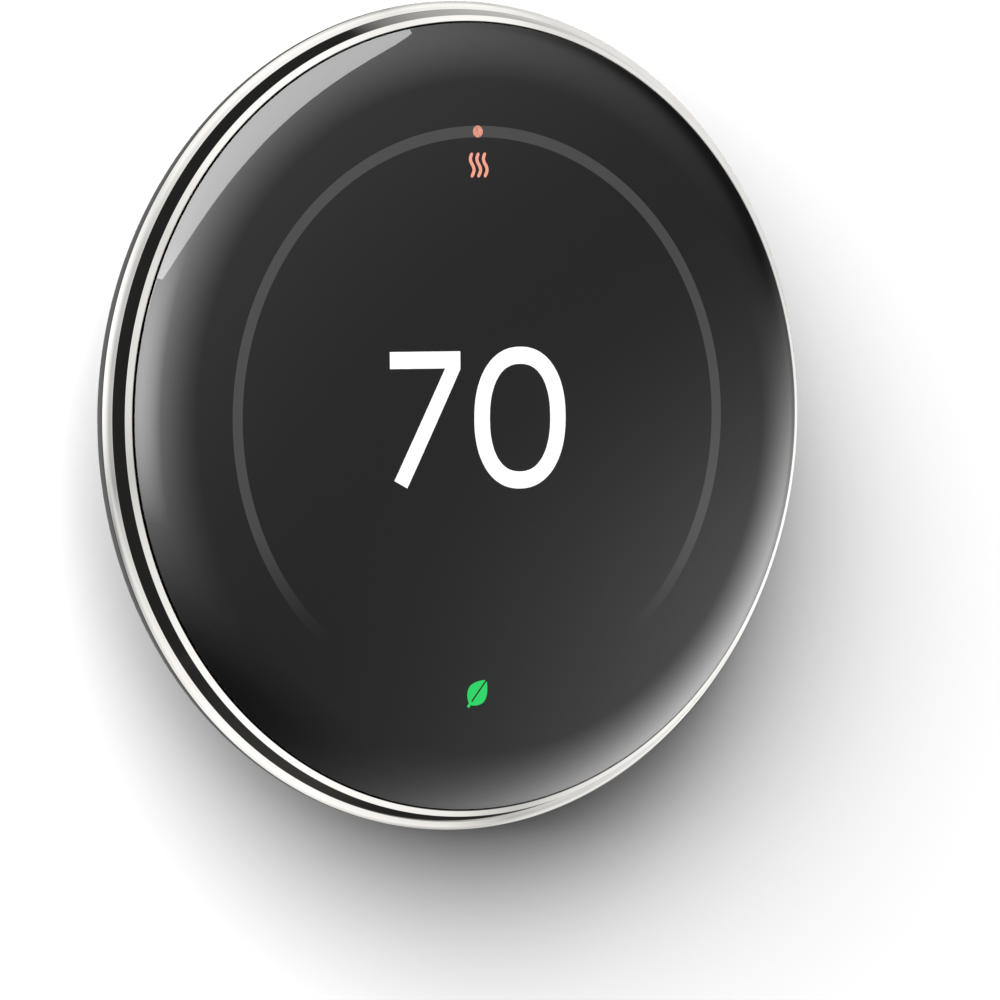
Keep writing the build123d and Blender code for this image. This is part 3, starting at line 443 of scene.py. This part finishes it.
# corner radius, height above the wall, and rounding, clockwise from the lens bore's step
ring_corners = [
    (39.95, 18.70, 0.10), (39.95, 21.54, 0.07), (40.60, 21.07, 0.10), (41.20, 19.57, 0.05),
    (41.70, 19.29, 1.50), (42.00, 18.95, 0.10), (42.00, 17.73, 3.00), (39.02, 14.60, 0.15),
    (35.86, 14.60, 0.10), (35.86, 15.60, 0.10), (39.00, 15.60, 0.10), (39.00, 18.70, 0.10),
]
chain = np.array([corner[:2] for corner in [ring_corners[-1], *ring_corners, ring_corners[0]]])
ring_outline, ring_ways = fillets(chain, [corner[2] for corner in ring_corners], steps=9)
outer_ring = turned("outer_ring_polished", ring_outline, ring_ways, on_axis=False)
outer_ring.data.materials.append(polished_steel("mirror polished stainless"))
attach(outer_ring, "ring")
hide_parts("outer_ring")


# ---- Front lens ----
# One thick moulded and polished lens. It is nearly flat over the display and rolls down at its
# edge, and its back is printed black round the display, down its pocket and on its rim.
def rolled(radius, run, top, start_sine, sines):
    """Points and directions of a lens arc by the sine s of its slope: r = run + radius s and
    h = top - radius (cos of the start slope - cos of s's slope)."""
    cosines = np.sqrt(1 - sines ** 2)
    points = np.stack([run + radius * sines,
                       top - radius * (math.sqrt(1 - start_sine ** 2) - cosines)], -1)
    return points, np.stack([cosines, -sines], -1)


lens_top, lens_radius = 27.3, 39.85
rim_step, shoulder_radius = 0.45, 12.0
edge_slope, rim_slope = math.radians(9.7), math.radians(38.0)
edge_sine, shoulder_sine = math.sin(edge_slope), math.sin(rim_slope)
shoulder_run = lens_radius - rim_step - shoulder_radius * shoulder_sine
dome_radius = shoulder_radius + shoulder_run / edge_sine
dome, dome_ways = rolled(dome_radius, 0.0, lens_top, 0.0, np.linspace(0, edge_sine, 48))
shoulder, shoulder_ways = rolled(shoulder_radius, shoulder_run, dome[-1, 1], edge_sine,
                                 np.linspace(edge_sine, shoulder_sine, 28)[1:])
skirt_height, pocket_radius, pocket_height = 20.30, 37.0, 22.30
rim_drop = rim_step * math.tan(rim_slope)
rim_chain = np.array([shoulder[-1], (lens_radius, shoulder[-1, 1] - rim_drop),
                      (lens_radius, skirt_height), (pocket_radius, skirt_height),
                      (pocket_radius, pocket_height), (0.0, pocket_height)])
rim, rim_ways = fillets(rim_chain, [0.12, 0.1, 0.1, 0.1])
lens_outline = np.vstack([dome, shoulder, rim, rim_chain[-1:]])
lens_ways = np.vstack([dome_ways, shoulder_ways, rim_ways, [[-1.0, 0.0]]])
lens = turned("front_lens_polished", lens_outline, lens_ways, on_axis=True)


def lens_clear(name):
    """Optical clear plastic with a hard coat: handling leaves faint smears 6 mm wide that soften
    its polish by a hundredth or two. A real coat's IOR is about 1.5; 2.4 makes it shine more."""
    material, tree, end, place = start_finish(name)
    smear = add(tree, "ShaderNodeTexNoise", {"Scale": 1 / (6 * MM), "Detail": 3.0},
                {"Vector": (place, "Object")})
    rough = spread(tree, smear, "Fac", 0.0, 0.015)
    shader = add(tree, "ShaderNodeBsdfPrincipled",
                 {"Base Color": colour("#fcfcfc"), "IOR": 1.5, "Transmission Weight": 1.0,
                  "Coat Weight": 1.0, "Coat Roughness": 0.0, "Coat IOR": 2.4},
                 {"Roughness": (rough, "Result")})
    tree.links.new(shader.outputs["BSDF"], end.inputs["Surface"])
    return material


lens.data.materials.append(lens_clear("hard coated lens"))
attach(lens, "front")
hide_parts("front_lens")


def bonded_ink(name, dark, light):
    """Ink fired onto glass: no gloss of its own, and a 0.35 mm screen mottle in its black."""
    material, tree, end, place = start_finish(name)
    mottle = add(tree, "ShaderNodeTexNoise", {"Scale": 1 / (0.35 * MM)},
                 {"Vector": (place, "Object")})
    tone = two_tones(tree, mottle, "Fac", 0.3, 0.7, dark, light)
    shader = add(tree, "ShaderNodeBsdfPrincipled",
                 {"Specular IOR Level": 0.0, "Roughness": 0.7}, {"Base Color": (tone, "Color")})
    tree.links.new(shader.outputs["BSDF"], end.inputs["Surface"])
    return material


# The black print lies on the lens's back, so it sits a few hundredths inside the clear body here.
print_gap, print_thickness = 0.03, 0.03
outer_print = np.array([
    (0.0, pocket_height + print_gap + print_thickness),
    (pocket_radius + print_gap + print_thickness, pocket_height + print_gap + print_thickness),
    (pocket_radius + print_gap + print_thickness, skirt_height + print_gap + print_thickness),
    (lens_radius - print_gap - print_thickness, skirt_height + print_gap + print_thickness),
    (lens_radius - print_gap - print_thickness, 21.25), (lens_radius - print_gap, 21.25),
    (lens_radius - print_gap, skirt_height + print_gap),
    (pocket_radius + print_gap, skirt_height + print_gap),
    (pocket_radius + print_gap, pocket_height + print_gap), (0.0, pocket_height + print_gap)])
print_points, print_ways = fillets(outer_print, [0.005] * (len(outer_print) - 2), steps=3)
print_outline = np.vstack([outer_print[:1], print_points, outer_print[-1:]])
print_ways = np.vstack([[[1.0, 0.0]], print_ways, [[-1.0, 0.0]]])
black_print = turned("lens_black_print", print_outline, print_ways, on_axis=True, steps=256)
black_print.data.materials.append(bonded_ink("black ceramic print", "#0a0a0b", "#0c0c0d"))
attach(black_print, "front")


# ---- Lit figures ----
# The display lights a set-point arc with its dot, a heating mark, the temperature and a leaf.
# Each figure is a thin lit plate against the lens's back, which raises it as thick glass does.
lit_low, lit_high = pocket_height + 0.55, pocket_height + 0.57


def lit_plate(name, left, right, looped=False):
    """A thin plate between two edge lines of equal length on the screen: the point for step i and
    side s is edge_s(i), at the plate's front and back heights. A looped plate joins its end to
    its start."""
    rows = len(left)
    sides = np.stack([left, right], 1)
    front = np.stack([sides[..., 0], np.full((rows, 2), -lit_high), sides[..., 1]], -1)
    back = np.stack([sides[..., 0], np.full((rows, 2), -lit_low), sides[..., 1]], -1)
    ring = np.concatenate([front, back[:, ::-1]], 1)
    index = np.arange(rows * 4).reshape(rows, 4)
    after = np.roll(index, -1, axis=1)
    low, high = (index, np.roll(index, -1, axis=0)) if looped else (index[:-1], index[1:])
    low_after = after if looped else after[:-1]
    high_after = np.roll(after, -1, axis=0) if looped else after[1:]
    faces = np.stack([low, low_after, high_after, high], -1).reshape(-1, 4).tolist()
    if not looped:
        faces += [index[0][::-1].tolist(), index[-1].tolist()]
    piece = finish_mesh(name, ring.reshape(-1, 3), faces)
    piece.data.shade_flat()
    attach(piece, "front")
    return piece


def stroke(name, path, widths, looped=False):
    """A plate of the given widths along a path: each edge point is the path point plus or minus
    half the width along the normal of the path's own direction there."""
    if looped:
        way = np.roll(path, -1, axis=0) - np.roll(path, 1, axis=0)
    else:
        way = np.gradient(path, axis=0)
    way /= np.linalg.norm(way, axis=1, keepdims=True)
    normal = np.stack([-way[:, 1], way[:, 0]], -1)
    half = np.broadcast_to(np.asarray(widths, float), (len(path),))[:, None] / 2
    return lit_plate(name, path + normal * half, path - normal * half, looped)


def lit(name, code, strength, fade=None):
    """Light from the display through its dots, which are 0.09 mm apart and a little uneven. Fade
    is the pair of Z heights in millimetres between which the light dies away downwards."""
    material, tree, end, place = start_finish(name)
    dots = add(tree, "ShaderNodeTexNoise", {"Scale": 1 / (0.09 * MM)},
               {"Vector": (place, "Object")})
    power = add(tree, "ShaderNodeMapRange", {"From Min": 0.3, "From Max": 0.7,
                                             "To Min": strength * 0.96, "To Max": strength * 1.04},
                {"Value": (dots, "Fac")})
    level = (power, "Result")
    if fade:
        height = add(tree, "ShaderNodeSeparateXYZ", None, {"Vector": (place, "Object")})
        shown = add(tree, "ShaderNodeMapRange",
                    {"From Min": fade[0] * MM, "From Max": fade[1] * MM, "To Min": 0.0,
                     "To Max": 1.0}, {"Value": (height, "Z")}, interpolation_type="SMOOTHSTEP")
        faded = add(tree, "ShaderNodeMath", None, {0: (power, "Result"), 1: (shown, "Result")},
                    operation="MULTIPLY")
        level = (faded, "Value")
    shader = add(tree, "ShaderNodeBsdfPrincipled",
                 {"Base Color": colour("#080808"), "Roughness": 0.7,
                  "Specular IOR Level": 0.0, "Emission Color": colour(code)},
                 {"Emission Strength": level})
    tree.links.new(shader.outputs["BSDF"], end.inputs["Surface"])
    return material


white_light = lit("white figure light", "#ffffff", 1.4)
warm_light = lit("warm mark light", "#ffa78e", 1.2)
green_light = lit("green mark light", "#08e064", 1.1)
grey_light = lit("dim arc light", "#5e5e5e", 0.56, fade=(-23.2, -9.0))

# Arc: open for 39 degrees each side of straight down.
arc_gap, arc_middle, arc_width = 39, 28.70, 1.16
arc_turn = np.radians(np.linspace(-90 + arc_gap, 270 - arc_gap, 240))
arc = stroke("setpoint_arc", np.stack([np.cos(arc_turn), np.sin(arc_turn)], -1) * arc_middle,
             arc_width)
arc.data.materials.append(grey_light)

# Dot: a round plate between the two half circles, on the arc's top.
dot_radius = 0.60
dot_turn = np.linspace(-0.499, 0.499, 25) * np.pi
dot_edge = np.stack([dot_radius * np.cos(dot_turn), dot_radius * np.sin(dot_turn)], -1)
dot_place = np.array([0.0, arc_middle])
dot = lit_plate("setpoint_dot", dot_edge * [-1, 1] + dot_place, dot_edge + dot_place)
dot.data.materials.append(warm_light)

# Heating mark: three upright wavy strokes, x = offset - swing * sin(2 pi u) over the height.
wave_u = np.linspace(0, 1, 40)
wave_pitch, wave_swing, wave_turns, wave_start = 0.78, 0.20, 1.15, -0.25
wave_middle, wave_height, wave_width = 25.3, 2.5, 0.36
for number, offset in enumerate((-wave_pitch, 0.0, wave_pitch), start=1):
    swing = wave_swing * np.sin(2 * np.pi * wave_u * wave_turns + wave_start)
    wave_path = np.stack([offset - swing, wave_middle + wave_height * (0.5 - wave_u)], -1)
    taper = wave_width * np.sqrt(np.clip(1 - (np.abs(2 * wave_u - 1)) ** 12, 0.05, 1))
    wave = stroke(f"heat_mark_{number}", wave_path, taper)
    wave.data.materials.append(warm_light)

# Seven: a bar, then a slanted stem cut square to its own line.
seven_left = np.array([(-10.90, 4.87), (-4.38, 4.87), (-4.39, 4.85), (-10.36, -6.36)])
seven_right = np.array([(-10.90, 6.58), (-2.58, 6.58), (-2.58, 4.78), (-8.84, -7.12)])
seven = lit_plate("figure_seven", seven_right, seven_left)
seven.data.materials.append(white_light)

# Nought: a stroke round the oval |x / a|^n + |z / b|^n = 1.
oval_turn = np.linspace(0, 2 * np.pi, 160, endpoint=False)
oval_power, oval_half = 2.25, np.array([4.55, 6.26])
oval = np.stack([np.cos(oval_turn), np.sin(oval_turn)], -1)
oval = np.sign(oval) * np.abs(oval) ** (2 / oval_power) * oval_half + [4.55, -0.16]
oval_width, oval_swell = 1.72, 0.13
oval_widths = oval_width + oval_swell * np.cos(oval_turn) ** 2
nought = stroke("figure_nought", oval, oval_widths, looped=True)
nought.data.materials.append(white_light)

# Leaf: two half blades beside a rib gap, swelling as sin(pi u), and a short stalk.
leaf_u = np.linspace(0.02, 0.98, 30)
leaf_lean = math.radians(52)
leaf_axis = np.array([math.cos(leaf_lean), math.sin(leaf_lean)])
leaf_side = np.array([-leaf_axis[1], leaf_axis[0]])
leaf_foot, leaf_length, leaf_half, rib_half = np.array([-0.95, -29.02]), 3.05, 1.08, 0.09
for number, side in enumerate((1, -1), start=1):
    spine = leaf_foot + leaf_axis * (leaf_length * leaf_u)[:, None]
    bulge = rib_half + leaf_half * np.sin(np.pi * leaf_u ** 0.85) ** 0.9
    near = spine + leaf_side * (side * np.minimum(rib_half, bulge))[:, None]
    far = spine + leaf_side * (side * bulge)[:, None]
    pair = (far, near) if side > 0 else (near, far)
    blade = lit_plate(f"leaf_blade_{number}", *pair)
    blade.data.materials.append(green_light)
stalk_path = leaf_foot + leaf_axis * np.linspace(-0.35, 0.35, 8)[:, None]
stalk = stroke("leaf_stalk", stalk_path, 0.3)
stalk.data.materials.append(green_light)


# ---- Wall ----
# A plain painted wall behind the thermostat. It shows from its front only, so the back of the
# object can be looked at through it. It is mid grey and lit hard: it reads white, its shadow deep.
wall_half = 1.5
wall = finish_mesh("wall", np.array([(-1, 0, -1), (1, 0, -1), (1, 0, 1), (-1, 0, 1)])
                   * wall_half / MM + [0.0, 0.02, 0.0], [[0, 1, 2, 3]])
wall_paint, tree, end, place = start_finish("white wall paint")
roller = add(tree, "ShaderNodeTexNoise", {"Scale": 1 / (1.5 * MM), "Detail": 2.0},
             {"Vector": (place, "Object")})
paint_bump = add(tree, "ShaderNodeBump", {"Strength": 0.05, "Distance": 0.01 * MM},
                 {"Height": (roller, "Fac")})
paint = add(tree, "ShaderNodeBsdfDiffuse", {"Color": colour("#6f6f6f")},
            {"Normal": (paint_bump, "Normal")})
through = add(tree, "ShaderNodeBsdfTransparent")
facing = add(tree, "ShaderNodeNewGeometry")
one_sided = add(tree, "ShaderNodeMixShader", None,
                {0: (facing, "Backfacing"), 1: (paint, "BSDF"), 2: (through, "BSDF")})
tree.links.new(one_sided.outputs["Shader"], end.inputs["Surface"])
wall.data.materials.append(wall_paint)
wall.visible_diffuse = wall.visible_glossy = wall.visible_transmission = False
wall.visible_shadow = False


# ---- Studio ----
# A white room seen by the camera; what the object sees is a dim room with a large round soft
# light high on the left, a broad glow on the left and a lower glow on the right.
def toward(azimuth, elevation):
    """Unit direction from the thermostat: azimuth 0 is straight out of the wall, 90 is +X."""
    a, e = math.radians(azimuth), math.radians(elevation)
    return (math.sin(a) * math.cos(e), -math.cos(a) * math.cos(e), math.sin(e))


studio = bpy.data.worlds.new("studio")
bpy.context.scene.world = studio
studio.use_nodes = True
tree = studio.node_tree
tree.nodes.clear()
looking = add(tree, "ShaderNodeTexCoord")


def glow(azimuth, elevation, strength, tightness):
    """A broad light: strength * ((1 + cos of the angle from its middle) / 2) ^ tightness."""
    nearness = add(tree, "ShaderNodeVectorMath", {1: toward(azimuth, elevation)},
                   {0: (looking, "Generated")}, operation="DOT_PRODUCT")
    share = add(tree, "ShaderNodeMath", {1: 0.5, 2: 0.5}, {0: (nearness, "Value")},
                operation="MULTIPLY_ADD")
    falling = add(tree, "ShaderNodeMath", {1: tightness}, {0: (share, "Value")}, operation="POWER")
    return add(tree, "ShaderNodeMath", {1: strength}, {0: (falling, "Value")},
               operation="MULTIPLY")


def total(*terms):
    """The sum of several lights."""
    summed = terms[0]
    for term in terms[1:]:
        summed = add(tree, "ShaderNodeMath", None, {0: (summed, 0), 1: (term, 0)},
                     operation="ADD")
    return summed


def fade(axis, dark, full):
    """Rises from 0 to 1 as a direction's X, Y or Z goes from dark to full, as s * s * (3 - 2 s)."""
    return add(tree, "ShaderNodeMapRange", {"From Min": dark, "From Max": full, "To Min": 0.0,
                                            "To Max": 1.0}, {"Value": (apart, axis)},
               interpolation_type="SMOOTHSTEP")


def product(*terms):
    """Lights and fades multiplied together."""
    made = terms[0]
    for term in terms[1:]:
        made = add(tree, "ShaderNodeMath", None, {0: (made, 0), 1: (term, 0)},
                   operation="MULTIPLY")
    return made


apart = add(tree, "ShaderNodeSeparateXYZ", None, {"Vector": (looking, "Generated")})
left_side = product(glow(-70, 15, 2.0, 5), fade("Z", -0.9, 0.0), fade("Y", 0.15, -0.25))
right_side = product(glow(100, -25, 1.7, 8), fade("Z", 0.2, -0.2), fade("Y", 0.55, 0.2))
over_top = product(glow(30, 65, 0.55, 7), fade("Y", 0.15, -0.25))
wall_bounce = add(tree, "ShaderNodeMath", {1: 0.2, 2: 0.03}, {0: (fade("Y", 0.62, 0.95), 0)},
                  operation="MULTIPLY_ADD")
all_lights = total(left_side, right_side, over_top, wall_bounce)
dim_room = add(tree, "ShaderNodeBackground", None, {"Strength": (all_lights, 0)})
white_room = add(tree, "ShaderNodeBackground", {"Strength": 1.0})
ray = add(tree, "ShaderNodeLightPath")
seen = add(tree, "ShaderNodeMixShader", None,
           {0: (ray, "Is Camera Ray"), 1: (dim_room, 0), 2: (white_room, 0)})
add(tree, "ShaderNodeOutputWorld", None, {"Surface": (seen, 0)})


def soft_light(name, direction, distance, side, power, pieces=None, mirrored=False):
    """A square soft light that faces the thermostat. Only the given pieces are lit, if any are
    given, and only a mirrored light shows in their polish."""
    lamp = bpy.data.lights.new(name, "AREA")
    lamp.shape, lamp.size, lamp.energy = "SQUARE", side, power
    light = bpy.data.objects.new(name, lamp)
    away = Vector(direction).normalized()
    light.location = away * distance
    light.rotation_euler = away.to_track_quat("Z", "Y").to_euler()
    light.visible_camera = light.visible_transmission = False
    light.visible_glossy = mirrored
    bpy.context.scene.collection.objects.link(light)
    if pieces:
        lit_set = bpy.data.collections.new(name + " lights these")
        for piece in pieces:
            lit_set.objects.link(piece)
        light.light_linking.receiver_collection = lit_set
    return light


def feather(light):
    """Makes a light die away to its edges: 16 u (1 - u) v (1 - v) across its sides u and v."""
    light.data.use_nodes = True
    tree = light.data.node_tree
    tree.nodes.clear()
    across = add(tree, "ShaderNodeNewGeometry")
    sides = add(tree, "ShaderNodeSeparateXYZ", None, {"Vector": (across, "Parametric")})
    shares = []
    for side in ("X", "Y"):
        other = add(tree, "ShaderNodeMath", {0: 1.0}, {1: (sides, side)}, operation="SUBTRACT")
        shares.append(add(tree, "ShaderNodeMath", None, {0: (sides, side), 1: (other, 0)},
                          operation="MULTIPLY"))
    both = add(tree, "ShaderNodeMath", None, {0: (shares[0], 0), 1: (shares[1], 0)},
               operation="MULTIPLY")
    level = add(tree, "ShaderNodeMath", {1: 16.0}, {0: (both, 0)}, operation="MULTIPLY")
    glow_face = add(tree, "ShaderNodeEmission", None, {"Strength": (level, 0)})
    add(tree, "ShaderNodeOutputLight", None, {"Surface": (glow_face, 0)})


# The key stands up on the left and throws the shadow down to the right. Its twin lights the wall
# alone, which keeps the wall white without burning out the pale plastics.
key_direction, key_distance, key_side = toward(-42, 25), 3.0, 2.8
key_power, wall_key_power = 150.0, 1100.0
soft_light("key", key_direction, key_distance, key_side, key_power)
soft_light("wall key", key_direction, key_distance, key_side, wall_key_power, [wall])

# A back light shows the thermostat's back when it is looked at through the wall.
soft_light("back light", (0.35, 1.0, 0.6), 3.0, 2.0, 160.0)

# Three feathered cards fill in the steel alone; the lens is flagged off from them.
feather(soft_light("low card", (-0.12, -0.52, -0.82), 1.0, 2.1, 21.0, [outer_ring], mirrored=True))
feather(soft_light("right card", (0.88, 0.10, 0.42), 1.0, 2.0, 14.0, [outer_ring], mirrored=True))
feather(soft_light("top card", (0.10, -0.45, 0.88), 1.0, 1.7, 8.0, [outer_ring], mirrored=True))

# A round crisp-edged light over the left is seen by the lens alone, as a crescent at its edge.
crescent = soft_light("round light", toward(-74, 66), 1.0, 2.12, 18.0, [lens], mirrored=True)
crescent.data.shape = "DISK"

# A tall feathered card behind the camera lights the lens's left edge alone.
feather(soft_light("left card", toward(-50, 6), 3.9, 3.8, 38.0, [lens], mirrored=True))

bpy.context.scene.view_settings.view_transform = "Standard"


# ---- Camera ----
# A long lens from the thermostat's front left, level with its middle.
camera_azimuth, camera_elevation, camera_distance = -33.0, 1.2, 3.80
camera_data = bpy.data.cameras.new("camera")
camera_data.lens, camera_data.sensor_width = 1350.0, 36.0
camera_data.shift_x, camera_data.shift_y = 0.0491, -0.0845
camera_data.clip_start, camera_data.clip_end = 0.01, 10.0
camera = bpy.data.objects.new("camera", camera_data)
bpy.context.scene.collection.objects.link(camera)
ring_middle = np.array([0.0, -18.8 * MM, 0.0])
from_ring = np.array(toward(camera_azimuth, camera_elevation))
camera.location = ring_middle + from_ring * camera_distance
camera.rotation_mode = "QUATERNION"
camera.rotation_quaternion = Vector(-from_ring).to_track_quat("-Z", "Y")
bpy.context.scene.camera = camera
